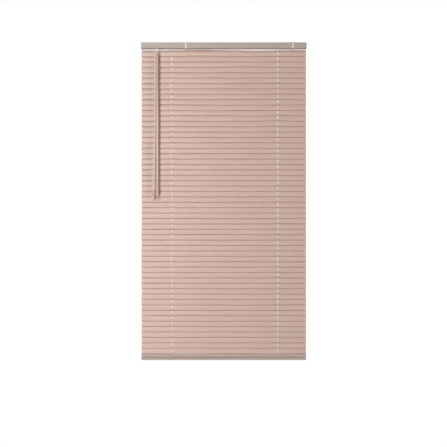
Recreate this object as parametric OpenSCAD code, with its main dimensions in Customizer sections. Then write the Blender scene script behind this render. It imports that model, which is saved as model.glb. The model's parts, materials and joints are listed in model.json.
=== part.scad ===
// Horizontal blind with 25 mm slats, hung by two ladders, tilted by a wand.
// Millimetres. X runs along the slats, -Y faces the room, +Z is up. The origin is
// on the top face of the mounting clips, straight above the slats' tilt axes.

/* [Blind] */
// Overall width across the end caps
blind_w = 656; // [560:2:900]
// Distance between neighbouring slats on the ladder
slat_pitch = 21.5; // [20:0.5:22]
// Height of the first slat's tilt axis
first_slat_z = -40.4; // [-44:0.1:-40.2]
// Angle of the closed slats from level, front edges down
closed_tilt = 72; // [60:1:74]
// Left ladder and lift cord, along X
left_station = -208; // [-230:1:-180]
// Right ladder and lift cord, along X
right_station = 214; // [180:1:230]

/* [Slats] */
// Slat width across the curve
slat_w = 25; // [24:0.5:26]
// Slat thickness
slat_t = 0.35; // [0.2:0.05:0.6]
// Radius of the slat's crown
crown_r = 50; // [40:5:70]
// Slat length short of the headrail at both ends together
slat_short = 2; // [1:1:10]
// Corner radius of the slats
slat_corner_r = 4; // [2:0.5:6]
// Route hole length across the slat
route_l = 14; // [10:1:16]
// Route hole width
route_w = 5; // [4:0.5:6]

/* [Headrail] */
// Depth of the headrail, front to back
head_d = 38; // [38:1:42]
// Height of the headrail
head_h = 23.5; // [23:0.5:25]
// Sheet thickness of the headrail
head_t = 0.8; // [0.6:0.1:1]
// Width of the inward lips along the open top
lip_w = 4; // [3:0.5:5]
// Height of the turned-down edges of the lips
lip_h = 2.5; // [1.5:0.5:3]

/* [Mounting clips] */
// Left clip, along X
left_clip_x = -150; // [-180:1:-120]
// Right clip, along X
right_clip_x = 274; // [250:1:300]
// Width of a clip's top plate and back leg along the headrail
clip_w = 12; // [8:0.5:14]
// Width of a clip's front leg
clip_front_w = 5.5; // [5:0.5:8]
// Sheet thickness of a clip
clip_t = 1.3; // [1:0.1:1.4]
// Distance between the two screw holes of a clip
clip_hole_pitch = 20; // [16:1:24]
// Radius of the screw holes
clip_hole_r = 2.2; // [1.8:0.1:2.5]

/* [Tilter] */
// Tilt wand and worm axis, along X
wand_x = -263.8; // [-280:0.1:-240]
// Tilt wand and worm axis, along Y
wand_y = -19; // [-20:0.5:-18.5]
// Height of the bottom end of the wand
wand_end_z = -611; // [-900:1:-300]
// Width of the hexagonal wand across its flats
wand_flats = 8; // [7:0.5:9]
// Teeth of the worm wheel
wheel_teeth = 20; // [20:1:20]
// Height of the tilt shaft's axis
shaft_z = -12.3; // [-12.5:0.1:-12]
// Tilt shaft axis, along Y
shaft_y = -5.5; // [-5.5:0.1:-5.5]
// Pitch radius of the worm wheel
wheel_pitch_r = 9.9; // [9.9:0.1:9.9]

/* [Bottom rail] */
// Depth of the bottom rail when level
rail_d = 25; // [24:0.5:26]
// Height of the bottom rail when level
rail_h = 16; // [12:0.5:18]
// Tilt of the bottom rail when the slats are closed
rail_tilt = 39.6; // [30:0.1:45]
// Height of the bottom rail's tilt axis
rail_z = -1249.1; // [-1260:0.1:-1240]

/* [Hidden] */
$fn = 64;
SLATS = 56;
function slat_name(i) = str("slat_", i < 10 ? "0" : "", i);

enamel_beige = [0.80, 0.70, 0.64];
enamel_shade = [0.72, 0.64, 0.60];
clip_white = [0.90, 0.88, 0.86];
moulded_white = [0.88, 0.87, 0.84];
steel_grey = [0.62, 0.63, 0.65];
stations = [left_station, right_station];
fit_gap = 0.2;          // between separate pieces that sit in each other
run_gap = 0.1;          // radial clearance of the turning parts
eps = 0.5;              // overshoot of the cutting tools

// headrail
head_top = -1.5;
head_zc = head_top - head_h / 2;
head_back = 13;
head_yc = head_back - head_d / 2;
head_r = 1.6;
cap_t = 1.5;
channel_len = blind_w - 2 * (cap_t + fit_gap);
floor_top = head_top - head_h + head_t;
part_floor = floor_top + fit_gap;    // where the parts inside stand
plug_depth = 8;
plug_wall = 1.5;
plug_h = 19;
ladder_hole_l = 18;
ladder_hole_w = 6;

// cradles and drums
cradle_half = 10.5;
cradle_wall = 2;
cradle_floor_t = 1;
cradle_front = -17.5;
cradle_back = 11.8;
cradle_wall_back = 6;
cradle_top = -4.5;
hub_r = 5;
drum_r = 9.3;
flange_r = 10.2;
flange_t = 1.2;
drum_half = 8.1;
hub_half = 11;
hex_r = 3.3;
shaft_left = wand_x - 4.7;
shaft_right = 236;

// tilter
wheel_root_r = 8.9;
wheel_tip_r = 10.5;
wheel_w = 3;
tooth_tip_half = 0.35;
tooth_root_half = 0.65;
worm_pitch = 2 * PI * wheel_pitch_r / wheel_teeth;
worm_turns = 4;
worm_slices_per_turn = 9;
worm_root_r = 2.75;
worm_crest_r = 4.2;
worm_points = 24;
thread_tip_half = 0.35;
thread_root_half = 0.75;
stem_r = 1.8;
stem_top = -4.5;
house_half = 5.4;
house_front = -24;
house_back = 6.4;
house_top = -4.2;
wheel_room_r = 10.9;
wheel_room_half = 2.6;
worm_room_r = 4.6;
worm_floor = -21;
wheel_hub_r = 4.6;

// cord lock
lock_right = wand_x - house_half - fit_gap;
lock_left = lock_right - 11.9;
lock_front = -21;
lock_back = -6;
lock_top = -5.6;
cord_slot_w = 3.8;
cord_slot_x = lock_right - 0.8 - cord_slot_w / 2;
cord_drop_y = -16.8;
roller_r = 2.5;
roller_y = cord_drop_y + roller_r + 0.8;
roller_z = -10.5;
pin_r = 1;

// wand
eye_z = -32.5;
eye_hole_r = 1.3;
hook_r = 2.6;
wire_r = 0.8;
ferrule_top = -40;
ferrule_r = 5.2;
ferrule_len = 13;
socket_depth = 6;
wand_r = wand_flats / 2 / cos(30);
wand_cap_len = 14;

// bottom rail
rail_t = 0.8;
rail_r = 3;
rail_len = blind_w - 2 - 2 * (cap_t + fit_gap);
button_r = 5.5;
button_t = 1.6;
button_stem_r = 3.2;
button_stem_len = 6;
cord_hole_r = 2.5;
seam_w = 1.5;            // open seam of the rolled rail, along its top front edge
notch_w = 2;

// slats
slat_len = blind_w - slat_short;
crown_half = asin(slat_w / 2 / crown_r);
// The centroid of an arc lies this far from its centre, so the slat balances on its axis
crown_drop = crown_r * sin(crown_half) / (crown_half * PI / 180);

// A centred rectangle with round corners
module rounded_rect(w, h, r) {
    square([w - 2 * r, h], center = true);
    square([w, h - 2 * r], center = true);
    for (sx = [-1, 1], sy = [-1, 1])
        translate([sx * (w / 2 - r), sy * (h / 2 - r)]) circle(r);
}

// A centred slot with round ends, long along Y
module oblong(l, w) {
    square([w, l - w], center = true);
    for (sy = [-1, 1]) translate([0, sy * (l - w) / 2]) circle(w / 2);
}

// Extrudes a YZ outline along X, centred
module along_x(len) {
    rotate([90, 0, 90]) linear_extrude(len, center = true) children();
}

// A cylinder along X, centred
module rod_x(r, len) {
    rotate([0, 90, 0]) cylinder(r = r, h = len, center = true);
}

// A hexagonal bar along X, centred
module hex_x(r, len) {
    rotate([0, 90, 0]) cylinder(r = r, h = len, center = true, $fn = 6);
}

// A box between two corners
module span(low, high) {
    translate(low) cube(high - low);
}

// ---- headrail ----

// The rolled section: a trough with lips that turn in and down
module channel_outline() {
    lip_edge = head_d / 2 - lip_w;
    difference() {
        rounded_rect(head_d, head_h, head_r);
        rounded_rect(head_d - 2 * head_t, head_h - 2 * head_t, head_r - head_t);
        translate([0, head_h / 2]) square([2 * lip_edge, 4 * head_t], center = true);
    }
    for (side = [-1, 1])
        translate([side * (lip_edge + head_t / 2), (head_h - lip_h) / 2])
            square([head_t, lip_h], center = true);
}

module channel() {
    color(enamel_shade) difference() {
        translate([0, head_yc, head_zc]) along_x(channel_len) channel_outline();
        for (x = stations)
            translate([x, 0, floor_top - head_t - eps])
                linear_extrude(head_t + 2 * eps) oblong(ladder_hole_l, ladder_hole_w);
        translate([wand_x, wand_y, floor_top - head_t - eps]) cylinder(r = 3.2, h = head_t + 2 * eps);
        translate([cord_slot_x, cord_drop_y, floor_top - head_t - eps])
            linear_extrude(head_t + 2 * eps) oblong(5, 4);
    }
}

// A cap with a hollow plug that sits inside the trough
module end_cap(side) {
    plug_d = head_d - 2 * head_t - 2 * fit_gap;
    color(enamel_shade) scale([side, 1, 1]) {
        translate([blind_w / 2 - cap_t / 2, head_yc, head_zc])
            along_x(cap_t) rounded_rect(head_d, head_h, head_r);
        translate([blind_w / 2 - cap_t - plug_depth / 2, head_yc, part_floor + plug_h / 2])
            along_x(plug_depth) difference() {
                rounded_rect(plug_d, plug_h, 1);
                square([plug_d - 2 * plug_wall, plug_h - 2 * plug_wall], center = true);
            }
    }
}

// A support for one drum: a floor with the ladder slot and two bearing walls
module cradle(x) {
    color(moulded_white) translate([x, 0, 0]) difference() {
        union() {
            span([-cradle_half, cradle_front, part_floor],
                 [cradle_half, cradle_back, part_floor + cradle_floor_t]);
            for (side = [-1, 1])
                translate([side * (cradle_half - cradle_wall / 2), 0, 0])
                    span([-cradle_wall / 2, cradle_front, part_floor],
                         [cradle_wall / 2, cradle_wall_back, cradle_top]);
        }
        translate([0, shaft_y, shaft_z]) rod_x(hub_r + run_gap, 2 * cradle_half + 2 * eps);
        translate([0, 0, part_floor - eps])
            linear_extrude(cradle_floor_t + 2 * eps) oblong(ladder_hole_l - 2, ladder_hole_w - 1);
    }
}

// The gear case: room for the wheel and the worm, open at the top
module tilter_housing() {
    color(moulded_white) translate([wand_x, 0, 0]) difference() {
        span([-house_half, house_front, part_floor], [house_half, house_back, house_top]);
        translate([0, shaft_y, shaft_z]) rod_x(wheel_room_r, 2 * wheel_room_half);
        translate([0, shaft_y, shaft_z]) rod_x(wheel_hub_r + run_gap, 2 * house_half + 2 * eps);
        translate([0, wand_y, worm_floor]) cylinder(r = worm_room_r, h = -worm_floor);
        translate([0, wand_y, part_floor - eps]) cylinder(r = stem_r + run_gap, h = -part_floor);
    }
}

// The cord lock: a block with a slot for two cords, a roller and its pin
module cord_lock() {
    slot_back = lock_back + eps;
    color(moulded_white) difference() {
        span([lock_left, lock_front, part_floor], [lock_right, lock_back, lock_top]);
        span([cord_slot_x - cord_slot_w / 2, cord_drop_y - 1.6, part_floor - eps],
             [cord_slot_x + cord_slot_w / 2, slot_back, lock_top + eps]);
        translate([cord_slot_x, roller_y, roller_z]) rod_x(pin_r + fit_gap, 40);
    }
    color(steel_grey) translate([cord_slot_x, roller_y, roller_z]) difference() {
        rod_x(roller_r, cord_slot_w - 2 * fit_gap);
        rod_x(pin_r + fit_gap, cord_slot_w);
    }
    color(steel_grey)
        translate([(lock_left + lock_right) / 2, roller_y, roller_z])
            rod_x(pin_r, lock_right - lock_left - 1);
}

// A strap that grips the headrail round its front, top and back
module clip(x) {
    in_front = head_back - head_d - fit_gap;
    in_back = head_back + fit_gap;
    in_bottom = head_top - head_h - fit_gap;
    hook = 3.5;
    color(clip_white) translate([x, 0, 0]) difference() {
        union() {
            span([-clip_w / 2, in_front - clip_t, -clip_t], [clip_w / 2, in_back + clip_t, 0]);
            span([-clip_front_w / 2, in_front - clip_t, in_bottom - clip_t],
                 [clip_front_w / 2, in_front, 0]);
            span([-clip_w / 2, in_back, in_bottom - clip_t], [clip_w / 2, in_back + clip_t, 0]);
            span([-clip_front_w / 2, in_front - clip_t, in_bottom - clip_t],
                 [clip_front_w / 2, in_front + hook, in_bottom]);
            span([-clip_w / 2, in_back - hook, in_bottom - clip_t],
                 [clip_w / 2, in_back + clip_t, in_bottom]);
        }
        for (side = [-1, 1])
            translate([0, head_yc + side * clip_hole_pitch / 2, -clip_t - eps])
                cylinder(r = clip_hole_r, h = clip_t + 2 * eps);
    }
}

module headrail() {
    channel();
    for (side = [-1, 1]) end_cap(side);
    for (x = stations) cradle(x);
    tilter_housing();
    cord_lock();
    clip(left_clip_x);
    clip(right_clip_x);
}

// ---- tilt shaft ----

// A drum that winds one ladder, with a hub at each side that turns in the cradle
module drum(x) {
    color(moulded_white) translate([x, shaft_y, shaft_z]) difference() {
        union() {
            rod_x(hub_r, 2 * hub_half);
            rod_x(drum_r, 2 * drum_half);
            for (side = [-1, 1])
                translate([side * (drum_half - flange_t / 2), 0, 0]) rod_x(flange_r, flange_t);
        }
        hex_x(hex_r + fit_gap, 2 * hub_half + 2 * eps);
    }
}

module wheel_outline() {
    circle(wheel_root_r);
    for (k = [0 : wheel_teeth - 1])
        rotate(k * 360 / wheel_teeth)
            polygon([[wheel_root_r - 0.5, -tooth_root_half], [wheel_tip_r, -tooth_tip_half],
                     [wheel_tip_r, tooth_tip_half], [wheel_root_r - 0.5, tooth_root_half]]);
}

module worm_wheel() {
    color(moulded_white) translate([wand_x, shaft_y, shaft_z]) difference() {
        union() {
            along_x(wheel_w) wheel_outline();
            rod_x(wheel_hub_r, 2 * house_half - 0.6);
        }
        hex_x(hex_r + fit_gap, 2 * house_half);
    }
}

module tilt_shaft() {
    color(steel_grey)
        translate([(shaft_left + shaft_right) / 2, shaft_y, shaft_z]) hex_x(hex_r, shaft_right - shaft_left);
    for (x = stations) drum(x);
    worm_wheel();
}

// ---- tilt wand ----

// Radius of the worm's section, at an angle measured from the middle of its thread
function thread_r(a) =
    worm_root_r + (worm_crest_r - worm_root_r) *
    max(0, min(1, (thread_root_half - abs(a) / 360 * worm_pitch) / (thread_root_half - thread_tip_half)));

// A right-hand thread whose gap faces the wheel's tooth at the shaft's height
module worm() {
    color(moulded_white) translate([wand_x, wand_y, shaft_z])
        linear_extrude(worm_turns * worm_pitch, center = true, twist = -360 * worm_turns,
                       slices = worm_turns * worm_slices_per_turn, segments = worm_points)
            difference() {
                polygon([for (k = [0 : worm_points - 1])
                    let (a = k * 360 / worm_points - 180)
                        thread_r(a) * [cos(a - 90), sin(a - 90)]]);
                circle(stem_r + fit_gap, $fn = 12);
            }
}

// The worm's stem, ending in a flat eye under the headrail
module stem() {
    eye_w = 5;
    eye_t = 2.2;
    color(moulded_white) translate([wand_x, wand_y, 0]) difference() {
        union() {
            translate([0, 0, eye_z + 3.5]) cylinder(r = stem_r, h = stem_top - eye_z - 3.5);
            translate([0, 0, eye_z + 4.5]) cylinder(r = 3, h = 2);
            span([-eye_t / 2, -eye_w / 2, eye_z - 2.2], [eye_t / 2, eye_w / 2, eye_z + 5]);
        }
        translate([0, 0, eye_z]) rod_x(eye_hole_r, eye_t + 2 * eps);
    }
}

// A closed wire ring through the eye, with a shank that goes down into the ferrule
module hook() {
    color(steel_grey) translate([wand_x, wand_y, eye_z - hook_r]) {
        rotate([90, 0, 0]) rotate_extrude() translate([hook_r, 0]) circle(wire_r);
        translate([0, 0, -hook_r - 7]) cylinder(r = wire_r, h = 7);
    }
}

module ferrule() {
    bottom = ferrule_top - ferrule_len;
    color(enamel_beige) translate([wand_x, wand_y, 0]) difference() {
        translate([0, 0, bottom]) cylinder(r = ferrule_r, h = ferrule_len);
        translate([0, 0, ferrule_top - 6]) cylinder(r = wire_r + fit_gap, h = 6 + eps);
        translate([0, 0, bottom - eps])
            cylinder(r = wand_r + fit_gap, h = socket_depth + eps, $fn = 6);
    }
}

module wand_rod() {
    top = ferrule_top - ferrule_len + socket_depth - fit_gap;
    bottom = wand_end_z + wand_cap_len - socket_depth;
    color(enamel_beige) translate([wand_x, wand_y, bottom]) cylinder(r = wand_r, h = top - bottom, $fn = 6);
}

module wand_cap() {
    round_r = 1.5;
    color(enamel_beige) translate([wand_x, wand_y, wand_end_z]) difference() {
        rotate_extrude() {
            square([ferrule_r - round_r, wand_cap_len]);
            translate([0, round_r]) square([ferrule_r, wand_cap_len - round_r]);
            intersection() {
                translate([ferrule_r - round_r, round_r]) circle(round_r);
                square([ferrule_r, wand_cap_len]);
            }
        }
        translate([0, 0, wand_cap_len - socket_depth - fit_gap])
            cylinder(r = wand_r + fit_gap, h = socket_depth + 1, $fn = 6);
    }
}

module tilt_wand() {
    worm();
    stem();
    hook();
    ferrule();
    wand_rod();
    wand_cap();
}

// ---- bottom rail ----

module rail_tube() {
    color(enamel_shade) difference() {
        along_x(rail_len) difference() {
            rounded_rect(rail_d, rail_h, rail_r);
            rounded_rect(rail_d - 2 * rail_t, rail_h - 2 * rail_t, rail_r - rail_t);
        }
        for (x = stations) translate([x, 0, 0]) {
            cylinder(r = cord_hole_r, h = rail_h);
            translate([0, 0, -rail_h]) cylinder(r = button_stem_r + fit_gap, h = rail_h);
            // the ladder's end goes in here
            span([-notch_w / 2, -rail_d / 2 - eps, -rail_h / 2 + rail_r],
                 [notch_w / 2, -rail_d / 2 + rail_r, rail_h / 2 + eps]);
        }
        span([-rail_len / 2 - eps, -rail_d / 2 + rail_r - seam_w, rail_h / 2 - 2 * rail_t],
             [rail_len / 2 + eps, -rail_d / 2 + rail_r, rail_h / 2 + eps]);
    }
}

module rail_cap(side) {
    end = rail_len / 2 + fit_gap;
    inset = rail_t + fit_gap;
    color(enamel_shade) scale([side, 1, 1]) {
        translate([end + cap_t / 2, 0, 0]) along_x(cap_t) rounded_rect(rail_d, rail_h, rail_r);
        translate([end - plug_depth / 2, 0, 0]) along_x(plug_depth)
            rounded_rect(rail_d - 2 * inset, rail_h - 2 * inset, rail_r - rail_t);
    }
}

// The button that holds the knotted end of a lift cord under the rail
module cord_button(x) {
    color(moulded_white) translate([x, 0, -rail_h / 2 - fit_gap]) difference() {
        union() {
            translate([0, 0, -button_t]) cylinder(r = button_r, h = button_t);
            cylinder(r = button_stem_r, h = button_stem_len);
        }
        translate([0, 0, -button_t - eps]) cylinder(r = 1, h = button_t + button_stem_len + 2 * eps);
    }
}

module bottom_rail() {
    translate([0, 0, rail_z]) rotate([rail_tilt, 0, 0]) {
        rail_tube();
        for (side = [-1, 1]) rail_cap(side);
        for (x = stations) cord_button(x);
    }
}

// ---- slats ----

// The crowned section, level, balanced on the origin
module slat_outline() {
    translate([0, -crown_drop]) intersection() {
        difference() {
            circle(crown_r + slat_t / 2, $fn = 180);
            circle(crown_r - slat_t / 2, $fn = 180);
        }
        polygon([[0, 0], crown_r * 1.2 * [-tan(crown_half), 1], crown_r * 1.2 * [tan(crown_half), 1]]);
    }
}

module slat(i) {
    plan_t = 8;
    color(enamel_beige)
        translate([0, 0, first_slat_z - (i - 1) * slat_pitch]) rotate([closed_tilt, 0, 0])
            intersection() {
                along_x(slat_len) slat_outline();
                translate([0, 0, -plan_t / 2]) linear_extrude(plan_t) difference() {
                    rounded_rect(slat_len, slat_w + 0.4, slat_corner_r);
                    for (x = stations) translate([x, 0]) oblong(route_l, route_w);
                }
            }
}

headrail();
tilt_shaft();
tilt_wand();
bottom_rail();
for (i = [1 : SLATS])
    slat(i);
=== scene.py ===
"""A venetian blind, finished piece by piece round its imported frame.

Sizes are in millimetres and become metres through MM. X runs along the slats,
-Y faces the room and +Z is up. The blind hangs closed, front edges down.
"""
import json
import math
import random

import bpy
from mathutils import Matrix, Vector

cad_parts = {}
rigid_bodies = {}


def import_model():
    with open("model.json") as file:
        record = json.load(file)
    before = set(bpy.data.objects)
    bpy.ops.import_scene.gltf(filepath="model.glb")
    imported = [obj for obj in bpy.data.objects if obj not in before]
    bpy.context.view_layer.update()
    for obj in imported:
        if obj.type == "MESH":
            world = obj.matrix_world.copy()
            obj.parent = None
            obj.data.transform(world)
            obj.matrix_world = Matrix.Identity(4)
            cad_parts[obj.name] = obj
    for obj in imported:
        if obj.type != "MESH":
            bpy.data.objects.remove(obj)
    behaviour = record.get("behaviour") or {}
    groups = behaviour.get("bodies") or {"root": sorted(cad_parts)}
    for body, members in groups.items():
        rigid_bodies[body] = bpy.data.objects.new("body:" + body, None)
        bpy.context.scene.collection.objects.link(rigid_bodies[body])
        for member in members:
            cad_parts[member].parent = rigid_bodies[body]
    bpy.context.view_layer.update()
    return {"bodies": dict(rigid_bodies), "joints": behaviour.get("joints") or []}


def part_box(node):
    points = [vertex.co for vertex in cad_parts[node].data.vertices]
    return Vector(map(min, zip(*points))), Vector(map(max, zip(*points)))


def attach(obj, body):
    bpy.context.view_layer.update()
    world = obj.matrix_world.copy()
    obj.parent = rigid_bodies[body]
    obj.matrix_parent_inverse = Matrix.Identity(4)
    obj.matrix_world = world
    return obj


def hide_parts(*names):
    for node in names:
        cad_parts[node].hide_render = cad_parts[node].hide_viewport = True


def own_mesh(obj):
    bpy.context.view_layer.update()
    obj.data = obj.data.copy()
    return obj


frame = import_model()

MM = 0.001
axis_of = {j["child"]: Vector(j.get("pos_m", (0, 0, 0))) / MM for j in frame["joints"]}
slat_names = sorted(name for name in frame["bodies"] if name.startswith("slat_"))


def corners(node):
    """A node's lowest and highest corners, in millimetres."""
    low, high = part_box(node)
    return Vector(low) / MM, Vector(high) / MM


head_low, head_high = corners("headrail")
shaft_low, shaft_high = corners("tilt_shaft")
wand_low = corners("tilt_wand")[0]
rail_high = corners("bottom_rail")[1]
slat_high = corners(slat_names[0])[1]

# ---- Sizes ----

FIT = 0.2                      # gap between pieces that sit in each other
LADDERS = {"left": -208, "right": 214}
CLIPS = {"left": -150, "right": 274}

CLIP_T = 1.3
CLIP_HALF = 6
CLIP_FRONT_HALF = 2.75
CLIP_HOOK = 3.5
CLIP_HOLES = 10                # each side of the headrail's middle

HEAD_T = 0.8
HEAD_FRONT = head_low.y + CLIP_T + FIT
HEAD_BACK = head_high.y - CLIP_T - FIT
HEAD_TOP = head_high.z - CLIP_T - FIT
HEAD_BOTTOM = head_low.z + CLIP_T + FIT
HEAD_MID = (HEAD_FRONT + HEAD_BACK) / 2
HEAD_HALF = head_high.x
LIP_W, LIP_H = 4, 2.5
HEAD_BEND = 1.6                # outer radius of the headrail's bends
CAP_T = 1.5
PLUG, PLUG_WALL, PLUG_H = 8, 1.5, 19
INSIDE = HEAD_BOTTOM + HEAD_T + FIT

SHAFT = axis_of["tilt_shaft"]
HEX_R = 3.3
HUB_R, DRUM_R, FLANGE_R = 5, 9.3, 10.2
CRADLE_HALF, CRADLE_WALL = 10.5, 2
CRADLE_FRONT, CRADLE_BACK, CRADLE_TOP = -17.5, 11.8, -4.5
WAND = axis_of["tilt_wand"]
WAND_R = 4 / math.cos(math.pi / 6)
WHEEL_TEETH, WHEEL_PITCH_R = 20, 9.9
WHEEL_ROOT_R, TOOTH_H, WHEEL_W = 8.9, 1.6, 3
WORM_PITCH = 2 * math.pi * WHEEL_PITCH_R / WHEEL_TEETH
STEM_R = 1.8
HOUSE_HALF, HOUSE_TOP = 5.4, -4.2
WHEEL_ROOM_R, WORM_ROOM_R = 10.9, 4.6
LOCK_RIGHT = WAND.x - HOUSE_HALF - FIT
LOCK_LEFT = LOCK_RIGHT - 11.9
LOCK_FRONT, LOCK_BACK, LOCK_TOP = -21, -6, -5.6
LOCK_SLOT = (LOCK_RIGHT - 4.6, LOCK_RIGHT - 0.8)
LOCK_MID = (LOCK_SLOT[0] + LOCK_SLOT[1]) / 2
ROLLER = (-13.5, -10.5)        # y and z of the lock's roller
ROLLER_R, PIN_R = 2.5, 1
EYE_Z = -32.5
HOOK_R, WIRE_R = 2.6, 0.8
FERRULE_TOP, FERRULE_LEN = -40, 13
WAND_END_LEN = 14

RAIL = axis_of["bottom_rail"]
RAIL_D, RAIL_H, RAIL_T = 25, 16, 0.8
RAIL_BEND = 3                  # outer radius of the bottom rail's long edges
SEAM_W, NOTCH_W = 2.2, 2
RAIL_TILT = math.radians(39.6)
RAIL_HALF = rail_high.x

SLAT_W, SLAT_T = 25, 0.35
SLAT_HALF = slat_high.x
SLAT_TILT = math.radians(72)
CROWN_R = 50
CROWN_HALF = math.asin(SLAT_W / 2 / CROWN_R)
CROWN_DROP = CROWN_R * math.sin(CROWN_HALF) / CROWN_HALF
ROUTE_L, ROUTE_W = 14, 5
UNEVEN = 0.9                   # most degrees that a slat hangs off the others' angle
LIVELY_ROWS = 14               # the upper slats, which wave more
LIVELY_WAVE, QUIET_WAVE, TWIST = 4.5, 1.8, 1.4

STRING_R = 0.6
RUNG_R = 0.35
LIFT_R = 0.8

# ---- Camera, light and floor ----


def add_camera():
    """Level and square on, far enough back for the slats to look almost parallel."""
    away, tall = 5.0, 1.779
    bpy.ops.object.camera_add(location=(-0.001, -away, -0.719), rotation=(math.pi / 2, 0, 0))
    camera = bpy.context.active_object
    camera.data.sensor_width = 36
    camera.data.lens = camera.data.sensor_width * away / tall
    camera.data.clip_end = 50
    bpy.context.scene.camera = camera


def add_softbox(name, place, width, height, power, tint):
    """An area light that faces the middle of the blind."""
    bpy.ops.object.light_add(type="AREA", location=place)
    lamp = bpy.context.active_object
    lamp.name = name
    lamp.data.shape = "RECTANGLE"
    lamp.data.size = width
    lamp.data.size_y = height
    lamp.data.energy = power
    lamp.data.color = tint
    middle = Vector((0, 0, -0.62))
    aim = middle - Vector(place)
    lamp.rotation_euler = aim.to_track_quat("-Z", "Y").to_euler()


def add_world():
    """White behind the object, and a dimmer white for the light it gives."""
    world = bpy.data.worlds.new("studio")
    bpy.context.scene.world = world
    world.use_nodes = True
    nodes, links = world.node_tree.nodes, world.node_tree.links
    nodes.clear()
    out = nodes.new("ShaderNodeOutputWorld")
    mix = nodes.new("ShaderNodeMixShader")
    path = nodes.new("ShaderNodeLightPath")
    shine = nodes.new("ShaderNodeBackground")
    shine.inputs["Color"].default_value = (1, 0.99, 0.98, 1)
    shine.inputs["Strength"].default_value = 0.08
    seen = nodes.new("ShaderNodeBackground")
    seen.inputs["Color"].default_value = (1, 1, 1, 1)
    links.new(path.outputs["Is Camera Ray"], mix.inputs["Fac"])
    links.new(shine.outputs[0], mix.inputs[1])
    links.new(seen.outputs[0], mix.inputs[2])
    links.new(mix.outputs[0], out.inputs["Surface"])


def add_floor():
    """A plain pale floor, below what the camera sees."""
    bpy.ops.mesh.primitive_plane_add(size=3.2, location=(0, 0, -1.9))
    floor = bpy.context.active_object
    floor.name = "studio_floor"
    paint = bpy.data.materials.new("studio floor")
    paint.use_nodes = True
    shader = paint.node_tree.nodes["Principled BSDF"]
    shader.inputs["Base Color"].default_value = (0.86, 0.86, 0.85, 1)
    shader.inputs["Roughness"].default_value = 0.9
    floor.data.materials.append(paint)


add_camera()
add_softbox("key", (-1.0, -1.7, -0.55), 0.22, 2.4, 25, (1, 0.985, 0.975))
add_softbox("fill", (4.2, -2.9, -0.55), 1.0, 2.4, 85, (0.99, 0.98, 1))
add_softbox("top", (-0.9, -2.4, 1.2), 1.2, 0.8, 19, (1, 0.985, 0.98))
add_softbox("back", (0.8, 3.2, 0.6), 1.6, 1.6, 30, (1, 0.99, 0.98))
add_world()
add_floor()
bpy.context.scene.view_settings.view_transform = "Standard"

# ---- Modelling moves ----


def only(*pieces):
    """Selects just these pieces, the first of them active."""
    if bpy.context.mode != "OBJECT":
        bpy.ops.object.mode_set(mode="OBJECT")
    bpy.ops.object.select_all(action="DESELECT")
    for piece in pieces:
        piece.select_set(True)
    if pieces:
        bpy.context.view_layer.objects.active = pieces[0]


def settle(piece):
    """Leaves a piece's place, turn and scale in its mesh."""
    only(piece)
    bpy.ops.object.transform_apply(location=True, rotation=True, scale=True)
    return piece


def named(name):
    """Names the primitive that was just added."""
    piece = bpy.context.active_object
    piece.name = piece.data.name = name
    return settle(piece)


def block(name, low, high):
    """A box between two corners."""
    only()
    low, high = Vector(low) * MM, Vector(high) * MM
    bpy.ops.mesh.primitive_cube_add(size=1, location=(low + high) / 2, scale=high - low)
    return named(name)


TURNS = {"X": (0, math.pi / 2, 0), "Y": (math.pi / 2, 0, 0), "Z": (0, 0, 0)}


def bar(name, radius, middle, length, along="Z", sides=48):
    """A round or many-sided bar."""
    only()
    bpy.ops.mesh.primitive_cylinder_add(vertices=sides, radius=radius * MM, depth=length * MM,
                                        location=Vector(middle) * MM, rotation=TURNS[along])
    return named(name)


def edit(piece, kind="VERT"):
    """Goes into edit mode with nothing selected."""
    only(piece)
    bpy.ops.object.mode_set(mode="EDIT")
    bpy.ops.mesh.select_mode(type=kind)
    bpy.ops.mesh.select_all(action="DESELECT")


def pick_edges(piece, test):
    """Goes into edit mode with the edges selected whose two ends pass the test."""
    edit(piece, "EDGE")
    bpy.ops.object.mode_set(mode="OBJECT")
    points = piece.data.vertices
    for edge in piece.data.edges:
        a, b = (points[i].co / MM for i in edge.vertices)
        edge.select = bool(test(a, b))
    bpy.ops.object.mode_set(mode="EDIT")


def runs_along_x(a, b):
    """True of an edge that runs along the blind."""
    return abs(a.x - b.x) > 0.01


def runs_upright(a, b):
    """True of an edge that isn't level."""
    return abs(a.z - b.z) > 0.01


def round_edges(piece, test, radius, segments):
    """Rounds the edges whose two ends pass the test."""
    pick_edges(piece, test)
    bpy.ops.mesh.bevel(offset=radius * MM, segments=segments, affect="EDGES")
    return leave(piece)


def pick_faces(piece, test):
    """Goes into edit mode with the faces selected whose middle and normal pass the test."""
    edit(piece, "FACE")
    bpy.ops.object.mode_set(mode="OBJECT")
    for face in piece.data.polygons:
        face.select = bool(test(face.center / MM, face.normal))
    bpy.ops.object.mode_set(mode="EDIT")


def leave(piece):
    """Back to object mode."""
    bpy.ops.object.mode_set(mode="OBJECT")
    return piece


def modify(piece, kind, **settings):
    """Adds one modifier and applies it."""
    modifier = piece.modifiers.new(kind.lower(), kind)
    for key, value in settings.items():
        setattr(modifier, key, value)
    only(piece)
    bpy.ops.object.modifier_apply(modifier=modifier.name)
    return piece


def carve(piece, *tools, how="DIFFERENCE"):
    """Cuts tools from a piece, or joins them to it, and clears them away."""
    for tool in tools:
        modify(piece, "BOOLEAN", operation=how, object=tool, solver="EXACT")
        bpy.data.objects.remove(tool)
    return piece


def weld(piece):
    """Merges doubled points and turns every face outwards."""
    edit(piece)
    bpy.ops.mesh.select_all(action="SELECT")
    bpy.ops.mesh.remove_doubles(threshold=0.002 * MM)
    bpy.ops.mesh.normals_make_consistent(inside=False)
    return leave(piece)


def soften(piece, width, segments=2, angle=35):
    """Rounds the hard edges and shades the rest smooth."""
    modify(piece, "BEVEL", width=width * MM, segments=segments, limit_method="ANGLE",
           angle_limit=math.radians(angle), harden_normals=False)
    return smooth(piece)


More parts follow.
